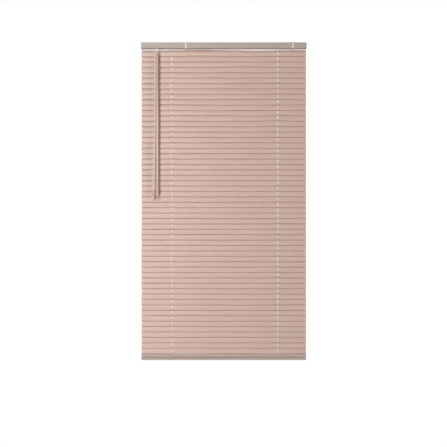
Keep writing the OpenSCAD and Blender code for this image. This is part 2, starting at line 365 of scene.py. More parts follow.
def smooth(piece, angle=38):
    """Shades a piece smooth but for its sharper edges."""
    only(piece)
    bpy.ops.object.shade_smooth_by_angle(angle=math.radians(angle))
    return piece


def rounded_cutter(name, low, high, radius, segments=6):
    """A box whose upright edges are rounded, for slots and outlines."""
    piece = block(name, low, high)
    return round_edges(piece, runs_upright, radius, segments)


def drawn(name, points):
    """A chain of edges through the points, drawn by extruding one point along."""
    only()
    bpy.ops.mesh.primitive_plane_add(size=0.01)
    piece = named(name)
    edit(piece)
    bpy.ops.mesh.select_all(action="SELECT")
    bpy.ops.mesh.merge(type="CENTER")
    points = [Vector(point) * MM for point in points]
    bpy.ops.transform.translate(value=points[0])
    for here, there in zip(points, points[1:]):
        bpy.ops.mesh.extrude_vertices_move(TRANSFORM_OT_translate={"value": there - here})
    return leave(piece)


def turned(name, outline, middle=(0, 0, 0), along="Z", steps=40):
    """Spins an outline of (radius, height) points round an axis through middle."""
    piece = drawn(name, [(radius, 0, height) for radius, height in outline])
    edit(piece)
    bpy.ops.mesh.select_all(action="SELECT")
    bpy.ops.mesh.spin(steps=steps, angle=2 * math.pi, center=(0, 0, 0), axis=(0, 0, 1))
    leave(piece)
    weld(piece)
    piece.rotation_euler = TURNS[along]
    piece.location = Vector(middle) * MM
    return settle(piece)


def folded(name, outline, x_low, x_high, thick, bend, segments=4):
    """Folds a sheet: an outline of (y, z) points drawn along X, its corners rounded."""
    piece = drawn(name, [(x_low, y, z) for y, z in outline])
    edit(piece)
    bpy.ops.mesh.select_all(action="SELECT")
    bpy.ops.mesh.extrude_region_move(
        TRANSFORM_OT_translate={"value": ((x_high - x_low) * MM, 0, 0)})
    leave(piece)
    ends = [Vector((0, *outline[0])), Vector((0, *outline[-1]))]

    def is_fold(a, b):
        free = any((Vector((0, a.y, a.z)) - end).length < 0.01 for end in ends)
        return runs_along_x(a, b) and not free

    round_edges(piece, is_fold, bend, segments)
    modify(piece, "SOLIDIFY", thickness=thick * MM, offset=0, use_even_offset=True)
    return weld(piece)


def copy_of(piece, name):
    """The same piece again with a mesh of its own."""
    again = piece.copy()
    again.data = piece.data.copy()
    again.name = again.data.name = name
    bpy.context.collection.objects.link(again)
    return again


def mirrored(piece, name):
    """The piece's mirror image across the blind's middle."""
    again = copy_of(piece, name)
    again.scale = (-1, 1, 1)
    settle(again)
    return weld(again)


def give(piece, body, material, slot, *nodes):
    """Sets a finished piece's material and says what it rides on and stands for; slot is not used."""
    piece.data.materials.clear()
    piece.data.materials.append(material)
    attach(piece, body)
    if nodes:
        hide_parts(*nodes)
    return piece


# ---- Shader groups that the materials share ----


def new_group(name, inputs, outputs):
    """An empty shader group. Each socket is (name, kind, value)."""
    group = bpy.data.node_groups.new(name, "ShaderNodeTree")
    for label, kind, value in inputs:
        socket = group.interface.new_socket(label, in_out="INPUT", socket_type=kind)
        socket.default_value = value
    for label, kind in outputs:
        group.interface.new_socket(label, in_out="OUTPUT", socket_type=kind)
    return group, group.nodes.new("NodeGroupInput"), group.nodes.new("NodeGroupOutput")


def stretched(group, scale):
    """Object coordinates, scaled along each axis."""
    place = group.nodes.new("ShaderNodeTexCoord")
    mapping = group.nodes.new("ShaderNodeMapping")
    mapping.inputs["Scale"].default_value = scale
    group.links.new(place.outputs["Object"], mapping.inputs["Vector"])
    return mapping.outputs["Vector"]


def feed(tree, value, socket):
    """Links a socket to another one, or sets it to a number or a colour."""
    if hasattr(value, "links"):
        tree.links.new(value, socket)
    else:
        socket.default_value = value


def noise(group, vector, scale, detail=3, rough=0.5):
    """A noise, from 0 to 1."""
    node = group.nodes.new("ShaderNodeTexNoise")
    node.inputs["Scale"].default_value = scale
    node.inputs["Detail"].default_value = detail
    node.inputs["Roughness"].default_value = rough
    group.links.new(vector, node.inputs["Vector"])
    return node.outputs["Fac"]


def sums(group, operation, a, b):
    """A Math node on sockets or numbers."""
    node = group.nodes.new("ShaderNodeMath")
    node.operation = operation
    for socket, value in zip(node.inputs, (a, b)):
        feed(group, value, socket)
    return node.outputs[0]


def ranged(group, value, low, high, out_low, out_high):
    """A value moved from one range to another, and held within it."""
    node = group.nodes.new("ShaderNodeMapRange")
    group.links.new(value, node.inputs["Value"])
    limits = {"From Min": low, "From Max": high, "To Min": out_low, "To Max": out_high}
    for label, number in limits.items():
        feed(group, number, node.inputs[label])
    return node.outputs["Result"]


def blended(group, share, one, other):
    """One colour over another by a share."""
    node = group.nodes.new("ShaderNodeMix")
    node.data_type = "RGBA"
    group.links.new(share, node.inputs["Factor"])
    for label, value in (("A", one), ("B", other)):
        socket = next(s for s in node.inputs if s.name == label and s.type == "RGBA")
        feed(group, value, socket)
    return next(s for s in node.outputs if s.type == "RGBA")


def make_roll_streaks():
    """Long faint streaks left by the coating rollers, with a slow drift of shade."""
    group, took, gave = new_group(
        "Roll streaks",
        [("Colour", "NodeSocketColor", (0.6, 0.5, 0.45, 1)),
         ("Shade", "NodeSocketColor", (0.5, 0.4, 0.35, 1)),
         ("Strength", "NodeSocketFloat", 0.3)],
        [("Colour", "NodeSocketColor"), ("Mask", "NodeSocketFloat")])
    fine = noise(group, stretched(group, (1.2, 90, 90)), 9, 4, 0.6)
    slow = noise(group, stretched(group, (3, 14, 14)), 2.2, 2)
    mixed = sums(group, "ADD", sums(group, "MULTIPLY", fine, 0.55), sums(group, "MULTIPLY", slow, 0.45))
    mask = ranged(group, mixed, 0.36, 0.64, 0, 1)
    share = sums(group, "MULTIPLY", mask, took.outputs["Strength"])
    group.links.new(blended(group, share, took.outputs["Colour"], took.outputs["Shade"]),
                    gave.inputs["Colour"])
    group.links.new(mask, gave.inputs["Mask"])
    return group


def make_pebble():
    """The fine orange peel of baked enamel or a moulded surface, as a height."""
    group, took, gave = new_group(
        "Pebble", [("Scale", "NodeSocketFloat", 900.0)], [("Height", "NodeSocketFloat")])
    place = group.nodes.new("ShaderNodeTexCoord")
    grain = group.nodes.new("ShaderNodeTexNoise")
    grain.inputs["Detail"].default_value = 2
    group.links.new(place.outputs["Object"], grain.inputs["Vector"])
    group.links.new(took.outputs["Scale"], grain.inputs["Scale"])
    group.links.new(grain.outputs["Fac"], gave.inputs["Height"])
    return group


def make_dust():
    """Patchy dust that lies on faces that look up, and dulls them."""
    group, took, gave = new_group(
        "Dust",
        [("Colour", "NodeSocketColor", (0.6, 0.5, 0.45, 1)),
         ("Dust colour", "NodeSocketColor", (0.62, 0.59, 0.55, 1)),
         ("Amount", "NodeSocketFloat", 0.25), ("Clean roughness", "NodeSocketFloat", 0.35)],
        [("Colour", "NodeSocketColor"), ("Roughness", "NodeSocketFloat")])
    patches = noise(group, stretched(group, (1, 1, 1)), 55, 5, 0.65)
    facing = group.nodes.new("ShaderNodeNewGeometry")
    split = group.nodes.new("ShaderNodeSeparateXYZ")
    group.links.new(facing.outputs["Normal"], split.inputs[0])
    up = ranged(group, split.outputs["Z"], 0.15, 0.95, 0.12, 1)
    thick = sums(group, "MULTIPLY", ranged(group, patches, 0.35, 0.75, 0.15, 1), up)
    share = sums(group, "MULTIPLY", thick, took.outputs["Amount"])
    group.links.new(blended(group, share, took.outputs["Colour"], took.outputs["Dust colour"]),
                    gave.inputs["Colour"])
    dulled = sums(group, "ADD", took.outputs["Clean roughness"], sums(group, "MULTIPLY", share, 0.6))
    group.links.new(dulled, gave.inputs["Roughness"])
    return group


def make_edge_wear():
    """Rubbed edges: a broken lighter or darker line where the surface turns sharply."""
    group, took, gave = new_group(
        "Edge wear",
        [("Colour", "NodeSocketColor", (0.6, 0.5, 0.45, 1)),
         ("Worn colour", "NodeSocketColor", (0.7, 0.66, 0.62, 1)),
         ("Amount", "NodeSocketFloat", 0.5)],
        [("Colour", "NodeSocketColor"), ("Mask", "NodeSocketFloat")])
    facing = group.nodes.new("ShaderNodeNewGeometry")
    sharp = ranged(group, facing.outputs["Pointiness"], 0.52, 0.60, 0, 1)
    broken = ranged(group, noise(group, stretched(group, (1, 1, 1)), 160, 4, 0.7), 0.42, 0.62, 0, 1)
    share = sums(group, "MULTIPLY", sums(group, "MULTIPLY", sharp, broken), took.outputs["Amount"])
    group.links.new(blended(group, share, took.outputs["Colour"], took.outputs["Worn colour"]),
                    gave.inputs["Colour"])
    group.links.new(share, gave.inputs["Mask"])
    return group


roll_streaks = make_roll_streaks()
pebble = make_pebble()
dust = make_dust()
edge_wear = make_edge_wear()

# ---- Materials ----


def start_material(name):
    """A new material, its node tree and its main shader."""
    material = bpy.data.materials.new(name)
    material.use_nodes = True
    return material, material.node_tree, material.node_tree.nodes["Principled BSDF"]


def place_group(tree, group, **values):
    """Puts a shader group in a material. Underscores in the names stand for spaces."""
    node = tree.nodes.new("ShaderNodeGroup")
    node.node_tree = group
    for label, value in values.items():
        feed(tree, value, node.inputs[label.replace("_", " ")])
    return node


def bumped(tree, height, strength, distance):
    """Feeds a height to the shader's normal."""
    bump = tree.nodes.new("ShaderNodeBump")
    bump.inputs["Strength"].default_value = strength
    bump.inputs["Distance"].default_value = distance
    tree.links.new(height, bump.inputs["Height"])
    tree.links.new(bump.outputs["Normal"], tree.nodes["Principled BSDF"].inputs["Normal"])


def enamel(name, colour, shade, roughness, dusty=0.2, streaky=0.5, coat=0.12):
    """Baked enamel on sheet metal: roller streaks, a little dust and orange peel."""
    material, tree, shader = start_material(name)
    streaks = place_group(tree, roll_streaks, Colour=colour, Shade=shade, Strength=streaky)
    film = place_group(tree, dust, Colour=streaks.outputs["Colour"], Amount=dusty,
                       Clean_roughness=roughness)
    tree.links.new(film.outputs["Colour"], shader.inputs["Base Color"])
    tree.links.new(film.outputs["Roughness"], shader.inputs["Roughness"])
    shader.inputs["Coat Weight"].default_value = coat
    shader.inputs["Coat Roughness"].default_value = 0.25
    peel = place_group(tree, pebble, Scale=1400.0)
    bumped(tree, peel.outputs["Height"], 0.12, 0.0002)
    return material


def moulded(name, colour, worn, roughness, grain=0.15):
    """Moulded plastic with rubbed edges and a fine grain."""
    material, tree, shader = start_material(name)
    edges = place_group(tree, edge_wear, Colour=colour, Worn_colour=worn, Amount=0.6)
    film = place_group(tree, dust, Colour=edges.outputs["Colour"], Amount=0.22,
                       Clean_roughness=roughness)
    tree.links.new(film.outputs["Colour"], shader.inputs["Base Color"])
    tree.links.new(film.outputs["Roughness"], shader.inputs["Roughness"])
    shader.inputs["Subsurface Weight"].default_value = 0.04
    shader.inputs["Subsurface Scale"].default_value = 0.002
    peel = place_group(tree, pebble, Scale=2200.0)
    bumped(tree, peel.outputs["Height"], grain, 0.0002)
    return material


def zinc_steel():
    """Bright zinc-plated steel, drawn lengthwise."""
    material, tree, shader = start_material("zinc steel")
    streaks = place_group(tree, roll_streaks, Colour=(0.60, 0.60, 0.61, 1),
                          Shade=(0.38, 0.38, 0.40, 1), Strength=0.7)
    tree.links.new(streaks.outputs["Colour"], shader.inputs["Base Color"])
    shader.inputs["Metallic"].default_value = 1
    rough = ranged(tree, streaks.outputs["Mask"], 0, 1, 0.28, 0.45)
    tree.links.new(rough, shader.inputs["Roughness"])
    peel = place_group(tree, pebble, Scale=3000.0)
    bumped(tree, peel.outputs["Height"], 0.08, 0.0001)
    return material


def braided(name, colour, shade, pitch):
    """Braided cord: crossing bands that climb the cord, and a slightly furry surface."""
    material, tree, shader = start_material(name)
    place = tree.nodes.new("ShaderNodeTexCoord")
    bands = []
    for lean in (-1, 1):
        mapping = tree.nodes.new("ShaderNodeMapping")
        mapping.inputs["Rotation"].default_value = (lean * 0.7, lean * 0.7, 0)
        wave = tree.nodes.new("ShaderNodeTexWave")
        wave.bands_direction = "Z"
        wave.inputs["Scale"].default_value = 1 / pitch
        wave.inputs["Distortion"].default_value = 0.6
        wave.inputs["Detail"].default_value = 1
        tree.links.new(place.outputs["Object"], mapping.inputs["Vector"])
        tree.links.new(mapping.outputs["Vector"], wave.inputs["Vector"])
        bands.append(wave.outputs["Fac"])
    weave = sums(tree, "MULTIPLY", bands[0], bands[1])
    tree.links.new(blended(tree, weave, shade, colour), shader.inputs["Base Color"])
    shader.inputs["Roughness"].default_value = 0.8
    shader.inputs["Sheen Weight"].default_value = 0.3
    bumped(tree, weave, 0.6, 0.0003)
    return material


slat_enamel = enamel("slat enamel", (0.700, 0.507, 0.430, 1), (0.640, 0.455, 0.382, 1), 0.38)
rail_enamel = enamel("rail enamel", (0.500, 0.415, 0.375, 1), (0.455, 0.375, 0.340, 1), 0.42)
# The bottom rail gets a lighter copy of the rail enamel. This is painted light, standing in for the
# light its top face catches from above.
rail_enamel_painted_lighter = enamel("bottom rail enamel painted lighter", (0.660, 0.530, 0.475, 1), (0.600, 0.480, 0.430, 1), 0.38)
clip_enamel = enamel("clip enamel", (0.83, 0.79, 0.75, 1), (0.76, 0.72, 0.68, 1), 0.35, 0.1)
cap_plastic = moulded("end cap plastic", (0.565, 0.455, 0.405, 1), (0.66, 0.57, 0.52, 1), 0.45)
white_plastic = moulded("white plastic", (0.80, 0.77, 0.73, 1), (0.90, 0.88, 0.85, 1), 0.42)
wand_plastic = moulded("wand plastic", (0.63, 0.465, 0.395, 1), (0.73, 0.585, 0.525, 1), 0.22, 0.05)
steel = zinc_steel()
string_cord = braided("ladder string", (0.98, 0.86, 0.79, 1), (0.82, 0.70, 0.63, 1), 0.0022)
pull_braid = braided("pull cord braid", (0.93, 0.78, 0.71, 1), (0.76, 0.62, 0.55, 1), 0.0028)

# ---- Pull cords ----


def cord_curve(name, points, radius, material):
    """A round cord through the points, in millimetres."""
    curve = bpy.data.curves.new(name, "CURVE")
    curve.dimensions = "3D"
    curve.bevel_depth = radius * MM
    curve.bevel_resolution = 3
    curve.use_fill_caps = True
    curve.resolution_u = 6
    spline = curve.splines.new("BEZIER")
    spline.bezier_points.add(len(points) - 1)
    for knot, point in zip(spline.bezier_points, points):
        knot.co = Vector(point) * MM
        knot.handle_left_type = knot.handle_right_type = "AUTO"
    piece = bpy.data.objects.new(name, curve)
    bpy.context.collection.objects.link(piece)
    curve.materials.append(material)
    return piece


CORD_R = 0.9
CORD_Y = -16.8
PULL_ROUTES = {
    "front": [
        (-271.2, -16.8, -25), (-271.2, -16.8, -30), (-271.1, -16.8, -45),
        (-270.9, -16.9, -75), (-270.8, -17.0, -115), (-270.8, -17.1, -155),
        (-271.0, -17.2, -200), (-271.4, -17.3, -250), (-272.0, -17.3, -300),
        (-272.8, -17.2, -350), (-273.8, -17.1, -400), (-274.8, -17.0, -445),
        (-275.9, -16.9, -490), (-276.9, -16.9, -530), (-277.6, -16.9, -560),
        (-278.1, -16.8, -582), (-278.2, -16.8, -590),
    ],
    "rear": [
        (-273.0, -16.8, -25), (-273.0, -16.8, -30), (-273.1, -16.8, -45),
        (-273.2, -16.7, -75), (-273.4, -16.6, -115), (-273.6, -16.5, -155),
        (-273.9, -16.4, -200), (-274.3, -16.4, -250), (-274.9, -16.4, -300),
        (-275.6, -16.5, -350), (-276.4, -16.6, -400), (-277.3, -16.7, -445),
        (-278.2, -16.7, -490), (-279.0, -16.8, -530), (-279.6, -16.8, -560),
        (-279.9, -16.8, -582), (-280.0, -16.8, -590),
    ],
}


def make_tassel():
    """The bell-shaped pull that both cords are knotted in."""
    top, bottom = -587, -619
    outline = [(0, top), (1.9, top), (2.5, top - 0.8), (2.7, top - 3), (3.0, top - 9),
               (3.7, top - 16), (4.6, top - 23), (5.1, top - 28), (5.2, bottom + 1.2),
               (4.7, bottom + 0.3), (4.0, bottom), (3.4, bottom + 0.4), (3.1, bottom + 2),
               (2.9, bottom + 9), (0, bottom + 9.5)]
    tassel = turned("cord_tassel", outline, (-279.1, CORD_Y, 0), steps=32)
    return smooth(tassel, 50)


tassel = give(make_tassel(), "headrail", wand_plastic, "wand_plastic")
for which, route in PULL_ROUTES.items():
    strand = cord_curve(f"pull_cord_{which}", route, CORD_R, pull_braid)
    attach(strand, "headrail")

# ---- Slats and ladders ----

FRONT_KNOT = Vector((0, -3.8, -12.4))     # from a slat's axis, at rest
REAR_KNOT = Vector((0, 5.75, 11.5))
UP_SHIFT = Vector((0, -1.95, 23.76))      # of the front strings, closed the other way
DOWN_SHIFT = Vector((0, -1.95, -23.76))   # of the rear strings


def level_slat():
    """One slat, level: a line spun into the crown, thickened, trimmed and slotted."""
    start_y = -CROWN_R * math.sin(CROWN_HALF)
    start_z = CROWN_R * math.cos(CROWN_HALF) - CROWN_DROP
    slat = drawn("slat", [(-SLAT_HALF - 1, start_y, start_z), (SLAT_HALF + 1, start_y, start_z)])
    edit(slat)
    bpy.ops.mesh.select_all(action="SELECT")
    bpy.ops.mesh.subdivide(number_cuts=71)
    bpy.ops.mesh.spin(steps=10, angle=2 * CROWN_HALF, center=(0, 0, -CROWN_DROP * MM), axis=(1, 0, 0))
    leave(slat)
    modify(slat, "SOLIDIFY", thickness=SLAT_T * MM, offset=0)
    weld(slat)
    half = SLAT_W / 2 + 0.2
    plan = rounded_cutter("plan", (-SLAT_HALF, -half, -4), (SLAT_HALF, half, 4), 4)
    carve(slat, plan, how="INTERSECT")
    for x in LADDERS.values():
        hole = rounded_cutter("route", (x - ROUTE_W / 2, -ROUTE_L / 2, -5),
                              (x + ROUTE_W / 2, ROUTE_L / 2, 5), ROUTE_W / 2 - 0.02)
        carve(slat, hole)
    return smooth(slat, 30)


def level_rungs():
    """The four rung strands under one slat, level, two at each ladder."""
    under = CROWN_R - SLAT_T / 2 - RUNG_R
    strands = []
    for x in LADDERS.values():
        for side in (-1, 1):
            path = [Vector((x, -SLAT_W / 2 - 1.4, -0.2))]
            for k in range(9):
                angle = CROWN_HALF * (k / 4 - 1) * 0.985
                path.append(Vector((x + side * 1.1, under * math.sin(angle),
                                    under * math.cos(angle) - CROWN_DROP)))
            path.append(Vector((x, SLAT_W / 2 + 1.4, -0.2)))
            path[0].z = path[-1].z = under * math.cos(CROWN_HALF) - CROWN_DROP
            strands.append(cord_curve("strand", path, RUNG_R, string_cord))
            strands[-1].data.bevel_resolution = 1
            strands[-1].data.resolution_u = 2
    only(*strands)
    bpy.ops.object.convert(target="MESH")
    bpy.ops.object.join()
    return weld(named("rungs"))


def ripple_guide(name, scale):
    """An empty whose scale stretches the ripples."""
    bpy.ops.object.empty_add(location=(0, 0, 0))
    guide = bpy.context.active_object
    guide.name = name
    guide.scale = scale
    return guide


def rippled(piece, texture, guide, way, depth):
    """Pushes a piece to and fro by the texture, along one axis."""
    return modify(piece, "DISPLACE", texture=texture, texture_coords="OBJECT",
                  texture_coords_object=guide, direction=way, space="GLOBAL",
                  strength=depth * MM, mid_level=0.5)


def hang_slats():
    """Copies the slat and its rungs to every slat's place, each a little uneven."""
    chance = random.Random(56)
    pattern, rungs = level_slat(), level_rungs()
    ripple = bpy.data.textures.new("slat ripple", "CLOUDS")
    ripple.noise_scale = 0.5
    ripple.noise_depth = 1
    wave, twist = ripple_guide("wave", (0.42, 5, 5)), ripple_guide("twist", (0.5, 0.05, 0.05))
    for row, name in enumerate(slat_names):
        number = name.split("_")[1]
        unevenness = math.radians(chance.uniform(-UNEVEN, UNEVEN))
        wave.location = twist.location = (chance.uniform(-9, 9), 0, 0)
        bpy.context.view_layer.update()
        for source, piece_name in ((pattern, f"slat_blade_{number}"), (rungs, f"rungs_{number}")):
            piece = copy_of(source, piece_name)
            piece.rotation_euler = (SLAT_TILT + unevenness, 0, 0)
            piece.location = axis_of[name] * MM
            settle(piece)
            rippled(piece, ripple, wave, "Z", LIVELY_WAVE if row < LIVELY_ROWS else QUIET_WAVE)
            rippled(piece, ripple, twist, "Y", TWIST)
            if source is pattern:
                give(piece, name, slat_enamel, "slat_enamel", name)
            else:
                give(piece, name, string_cord, "cord")
    for spare in (pattern, rungs, wave, twist):
        bpy.data.objects.remove(spare)


def slide_piece(piece, shift, anchor=None):
    """Gives a piece a mesh of its own and works out the slide by shift, or the shortening towards an
    end, without setting either up.

    A slide is a squash towards a point so far off that the piece keeps its length.
    For a piece that shortens, anchor holds the end that stays and the end that moves.
    """
    far = 1000.0
    way = shift.normalized()
    if anchor is None:
        anchor = axis_of[slat_names[0]] + way * far * 1000
    else:
        anchor = anchor[0]
    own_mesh(piece)


def hang_ladders():
    """The four upright strings, and the leads that join the front ones to the headrail."""
    first = axis_of[slat_names[0]]
    for side, x in LADDERS.items():
        front_top = first + FRONT_KNOT
        spans = {
            "front": (FRONT_KNOT.y, front_top.z, RAIL.z - 11.4, UP_SHIFT),
            "rear": (REAR_KNOT.y, -1.2, RAIL.z + 11.5, DOWN_SHIFT),
        }
        for place, (y, top, bottom, shift) in spans.items():
            string = bar(f"ladder_string_{side}_{place}", STRING_R, (x, y, (top + bottom) / 2),
                         top - bottom, sides=10)
            smooth(string, 60)
            give(string, "headrail", string_cord, "cord")
            slide_piece(string, shift)
        floor = Vector((x, FRONT_KNOT.y, HEAD_BOTTOM + 1))
        lead = bar(f"ladder_lead_{side}", STRING_R, (x, FRONT_KNOT.y, (floor.z + front_top.z) / 2),
                   floor.z - front_top.z, sides=10)
        smooth(lead, 60)
        give(lead, "headrail", string_cord, "cord")
        knot = Vector((x, FRONT_KNOT.y, front_top.z))
        slide_piece(lead, UP_SHIFT, (floor, knot))


def lay_rail(piece):
    """Moves a piece modelled level at the origin to the tilted rail's place."""
    piece.rotation_euler = (RAIL_TILT, 0, 0)
    piece.location = RAIL * MM
    return settle(piece)


def tie_ladder_ends():
    """Each ladder's front string, over the rail's top face and into its notch."""
    lie = RAIL_H / 2 + STRING_R * 0.7
    front = RAIL_D / 2
    for side, x in LADDERS.items():
        route = [(x, 1.7, lie - 1.6), (x, 0.6, lie - 0.2), (x, -2, lie), (x, -6, lie),
                 (x, -9, lie - 0.1), (x, -10.6, lie - 1), (x, 0.9 - front, lie - 2.6),
                 (x, 1.3 - front, lie - 5), (x, 1.5 - front, 0)]
        end = cord_curve(f"ladder_end_{side}", route, STRING_R, string_cord)
        only(end)
        bpy.ops.object.convert(target="MESH")
        end = named(f"ladder_end_{side}")
        give(smooth(lay_rail(weld(end)), 60), "bottom_rail", string_cord, "cord")


def thread_lift_cords():
    """Each lift cord: up through the route holes, under its drum, along to the lock."""
    behind, low = 9.4, -19.6
    roller_top = -7.2
    for side, x in LADDERS.items():
        lane = {"left": -271.2, "right": -273.0}[side]
        deep = {"left": behind, "right": behind - 2}[side]
        route = [(x, 0, RAIL.z), (x, 0, -900), (x, 0, -500), (x, 0, -100), (x, 0, -32),
                 (x, 0, -26), (x, 0.8, -23.4), (x, 2.6, -22.3), (x, 5, -21.8),
                 (x - 1, deep - 1, -20.6), (x - 5, deep, low), (x - 14, deep, low),
                 ((x + lane) / 2, deep, low), (lane + 14, deep, low),
                 (lane + 5, deep - 0.6, low + 1), (lane + 0.8, deep - 4, low + 4),
                 (lane, 0, -11), (lane, -6, -7.8), (lane, -11, roller_top),
                 (lane, -14, roller_top - 0.1), (lane, -16.2, -8.6), (lane, CORD_Y, -11.5),
                 (lane, CORD_Y, -18), (lane, CORD_Y, -25)]
        cord = cord_curve(f"lift_cord_{side}", route, LIFT_R, string_cord)
        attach(cord, "headrail")


hang_slats()
hang_ladders()
tie_ladder_ends()
thread_lift_cords()

# ---- Headrail ----


def make_channel():
    """The rolled headrail: a trough with turned-in lips, holes through its floor."""
    edge = (HEAD_BACK - HEAD_FRONT) / 2 - LIP_W + HEAD_T / 2
    front, back = HEAD_FRONT + HEAD_T / 2, HEAD_BACK - HEAD_T / 2
    top, bottom = HEAD_TOP - HEAD_T / 2, HEAD_BOTTOM + HEAD_T / 2
    lip_end = HEAD_TOP - LIP_H
    half = HEAD_HALF - CAP_T - FIT
    outline = [(HEAD_MID - edge, lip_end), (HEAD_MID - edge, top), (front, top), (front, bottom),
               (back, bottom), (back, top), (HEAD_MID + edge, top), (HEAD_MID + edge, lip_end)]
    channel = folded("headrail_channel", outline, -half, half, HEAD_T, 1.1)
    z_low, z_high = HEAD_BOTTOM - 1, HEAD_BOTTOM + 2
    holes = [rounded_cutter("hole", (x - 3, -9, z_low), (x + 3, 9, z_high), 2.95)
             for x in LADDERS.values()]
    holes.append(bar("hole", 3.2, (WAND.x, WAND.y, HEAD_BOTTOM), 4))
    holes.append(rounded_cutter("hole", (LOCK_MID - 2, CORD_Y - 2.5, z_low),
                                (LOCK_MID + 2, CORD_Y + 2.5, z_high), 1.9))
    carve(channel, *holes)
    return smooth(channel, 30)


def make_end_cap():
    """The right cap: a plate with a hollow plug that the trough takes."""
    inner = HEAD_HALF - CAP_T
    plate = block("end_cap_right", (inner, HEAD_FRONT, HEAD_BOTTOM), (HEAD_HALF, HEAD_BACK, HEAD_TOP))
    round_edges(plate, runs_along_x, HEAD_BEND, 4)
    gap = HEAD_T + FIT
    plug = block("plug", (inner - PLUG, HEAD_FRONT + gap, INSIDE),
                 (inner + 0.5, HEAD_BACK - gap, INSIDE + PLUG_H))
    pick_faces(plug, lambda middle, normal: normal.x < -0.9)
    bpy.ops.mesh.inset(thickness=PLUG_WALL * MM)
    inwards = ((PLUG - PLUG_WALL) * MM, 0, 0)
    bpy.ops.mesh.extrude_region_move(TRANSFORM_OT_translate={"value": inwards})
    leave(plug)
    carve(plate, plug, how="UNION")
    return soften(plate, 0.35)


def make_cradle(side, x):
    """A drum's support: two bearing walls on a slotted floor."""
    cradle = block(f"cradle_{side}", (x - CRADLE_HALF, CRADLE_FRONT, INSIDE),
                   (x + CRADLE_HALF, CRADLE_BACK, INSIDE + 1))
    half_wall = CRADLE_WALL / 2
    for way in (-1, 1):
        middle = x + way * (CRADLE_HALF - half_wall)
        wall = block("wall", (middle - half_wall, CRADLE_FRONT, INSIDE),
                     (middle + half_wall, 6, CRADLE_TOP))
        round_edges(wall, lambda a, b: a.z > -5 and b.z > -5 and runs_along_x(a, b), 5, 5)
        carve(cradle, wall, how="UNION")
    slot = rounded_cutter("slot", (x - 2.5, -8, INSIDE - 1), (x + 2.5, 8, INSIDE + 3), 2.4)
    bore = bar("bore", HUB_R + 0.1, (x, SHAFT.y, SHAFT.z), 30, "X")
    carve(cradle, slot, bore)
    return soften(cradle, 0.25)


def make_gear_case():
    """The tilter's case, open on top over the wheel and the worm."""
    case = block("tilter_case", (WAND.x - HOUSE_HALF, -24, INSIDE),
                 (WAND.x + HOUSE_HALF, 6.4, HOUSE_TOP))
    round_edges(case, runs_upright, 1.2, 3)
    room = bar("room", WHEEL_ROOM_R, (WAND.x, SHAFT.y, SHAFT.z), 5.2, "X", 64)
    hub_bore = bar("hub bore", 4.7, (WAND.x, SHAFT.y, SHAFT.z), 20, "X")
    worm_room = bar("worm room", WORM_ROOM_R, (WAND.x, WAND.y, -10.5), 21)
    stem_bore = bar("stem bore", STEM_R + 0.1, (WAND.x, WAND.y, -20), 12)
    carve(case, room, hub_bore, worm_room, stem_bore)
    return soften(case, 0.25)


def make_cord_lock():
    """The block that the two lift cords leave the headrail through."""
    lock = block("cord_lock", (LOCK_LEFT, LOCK_FRONT, INSIDE), (LOCK_RIGHT, LOCK_BACK, LOCK_TOP))
    round_edges(lock, runs_upright, 1, 3)
    slot = block("slot", (LOCK_SLOT[0], CORD_Y - 1.6, -30), (LOCK_SLOT[1], LOCK_BACK + 1, 0))
    pin_bore = bar("pin bore", PIN_R + FIT, (LOCK_LEFT, *ROLLER), 40, "X", 24)
    carve(lock, slot, pin_bore)
    return soften(lock, 0.25)


def make_lock_roller():
    """A small knurled roller: every other face of its rim pressed in."""
    knurls = 16
    roller = bar("lock_roller", ROLLER_R, (LOCK_MID, *ROLLER), 3.4, "X", 2 * knurls)

    def on_rim(centre, normal):
        angle = math.atan2(centre.z - ROLLER[1], centre.y - ROLLER[0])
        return abs(normal.x) < 0.1 and round(angle / (math.pi / knurls) - 0.5) % 2 == 0

    pick_faces(roller, on_rim)
    bpy.ops.mesh.extrude_faces_move(TRANSFORM_OT_shrink_fatten={"value": -0.15 * MM})
    leave(roller)
    carve(roller, bar("bore", PIN_R + FIT, (LOCK_MID, *ROLLER), 6, "X", 24))
    return smooth(weld(roller), 25)


def make_clip(side, x):
    """A strap folded round the headrail, with two screw holes on top."""
    front, back = HEAD_FRONT - FIT - CLIP_T / 2, HEAD_BACK + FIT + CLIP_T / 2
    low, high = HEAD_BOTTOM - FIT - CLIP_T / 2, -CLIP_T / 2
    outline = [(front + CLIP_T / 2 + CLIP_HOOK, low), (front, low), (front, high), (back, high),
               (back, low), (back - CLIP_T / 2 - CLIP_HOOK, low)]
    clip = folded(f"mounting_clip_{side}", outline, x - CLIP_HALF, x + CLIP_HALF, CLIP_T, 0.9)
    waste = [bar("hole", 2.2, (x, HEAD_MID + way * CLIP_HOLES, 0), 6, "Z", 32) for way in (-1, 1)]
    for way in (-1, 1):
        ends = sorted((x + way * CLIP_FRONT_HALF, x + way * 20))
        waste.append(block("waste", (ends[0], front - 5, low - 5),
                           (ends[1], HEAD_MID - 14.5, high - 1)))
    carve(clip, *waste)
    return soften(clip, 0.2)


give(make_channel(), "headrail", rail_enamel, "headrail_enamel", "headrail")
right_cap = make_end_cap()
left_cap = smooth(mirrored(right_cap, "end_cap_left"))
for cap in (right_cap, left_cap):
    give(cap, "headrail", cap_plastic, "headrail_enamel", "headrail")
for side, x in LADDERS.items():
    give(make_cradle(side, x), "headrail", white_plastic, "mechanism", "headrail")
give(make_gear_case(), "headrail", white_plastic, "mechanism", "headrail")
give(make_cord_lock(), "headrail", white_plastic, "mechanism", "headrail")
give(make_lock_roller(), "headrail", steel, "steel", "headrail")
pin_middle = ((LOCK_LEFT + LOCK_RIGHT) / 2, *ROLLER)
pin = bar("lock_pin", PIN_R, pin_middle, LOCK_RIGHT - LOCK_LEFT - 1, "X", 24)
give(soften(pin, 0.2), "headrail", steel, "steel", "headrail")
for side, x in CLIPS.items():
    give(make_clip(side, x), "headrail", clip_enamel, "clip_enamel", "headrail")

# ---- Tilt shaft ----


